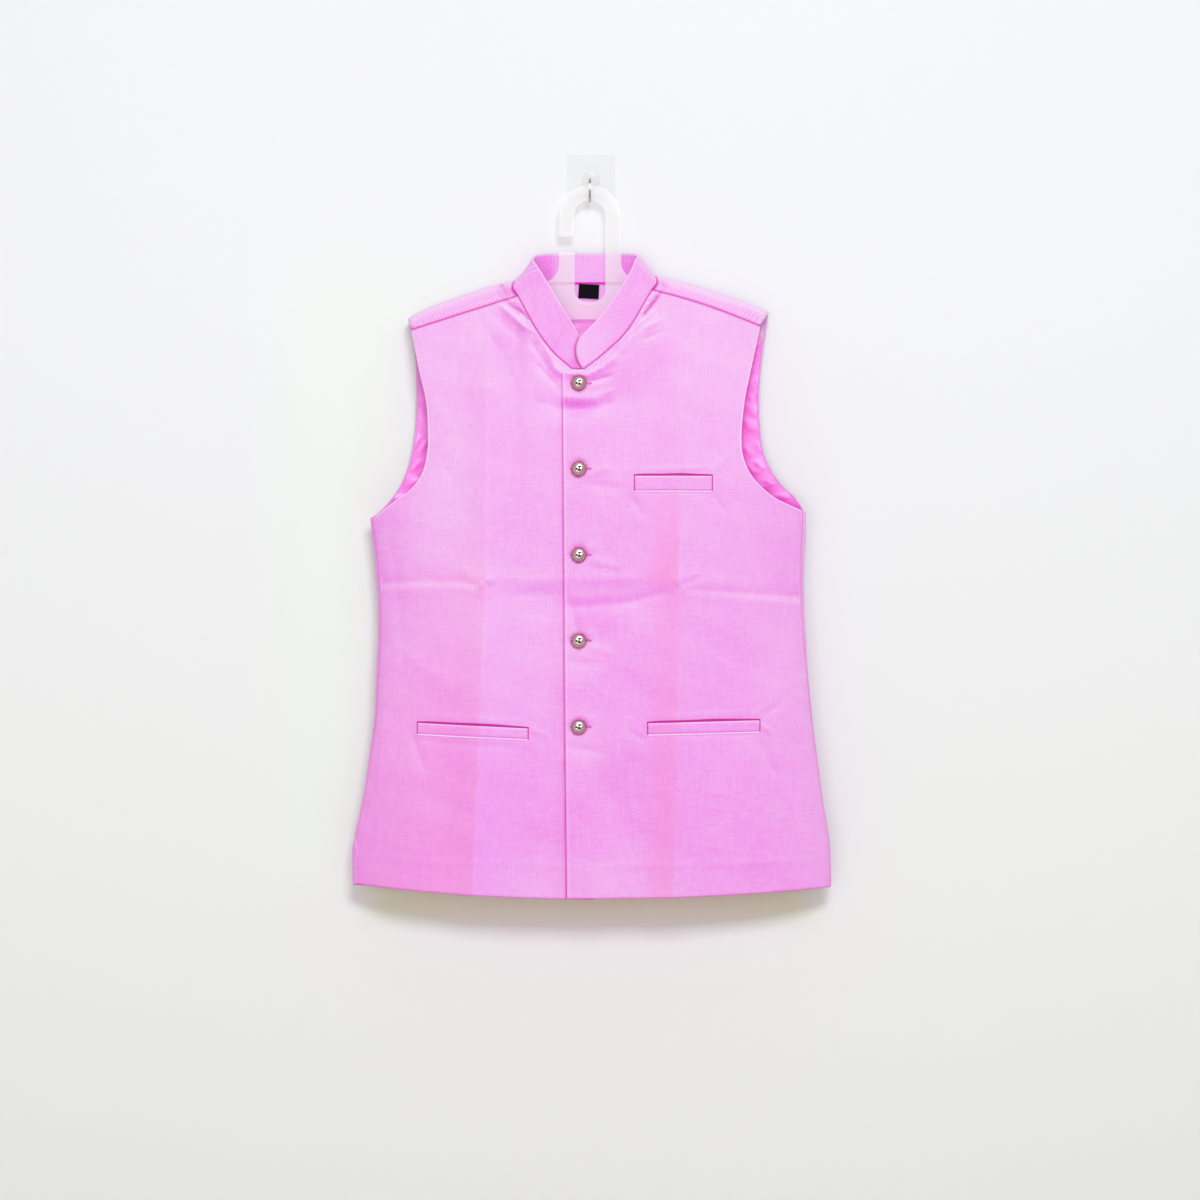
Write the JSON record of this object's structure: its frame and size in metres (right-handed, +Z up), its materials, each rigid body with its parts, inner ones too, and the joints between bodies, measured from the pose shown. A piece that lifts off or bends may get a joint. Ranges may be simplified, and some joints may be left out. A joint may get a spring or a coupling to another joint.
{
  "type": "nehru jacket on a hanger and wall hook",
  "caption": "Sleeveless band-collar nehru jacket, buttoned down the front, with welt pockets and open armholes, hung on a flat plastic hanger from a stick-on wall hook.",
  "frame": {"origin": "centre of the back face of the wall hook's plate, where the wall holds everything up", "axes": "+Z up, +Y into the wall, so the jacket's front faces -Y; +X to the viewer's right, which is the wearer's left"},
  "size_m": [0.5558, 0.0745, 0.857],
  "materials": {
    "jacket_cloth": "bright orchid-pink suiting in a fine bird's-eye weave, pressed, with faint packing creases",
    "lining_satin": "smooth satin lining, deeper pink, softly wrinkled",
    "label_woven": "bare black woven tab",
    "button_metal": null,
    "hanger_plastic": "milky translucent moulded plastic",
    "hook_plastic": "clear moulded plastic",
    "hook_wire": "bright bent steel wire"
  },
  "bodies": {
    "root": {"front_right": "jacket_cloth", "front_left": "jacket_cloth", "back": "jacket_cloth", "back_lining": "lining_satin", "collar": "jacket_cloth", "welt_chest": "jacket_cloth", "welt_hip_right": "jacket_cloth", "welt_hip_left": "jacket_cloth", "button_1": "button_metal", "button_2": "button_metal", "button_3": "button_metal", "button_4": "button_metal", "button_5": "button_metal", "neck_label": "label_woven", "hanger": "hanger_plastic", "wall_plate": "hook_plastic", "wall_boss": "hook_plastic", "wall_wire": "hook_wire"}
  },
  "joints": []
}
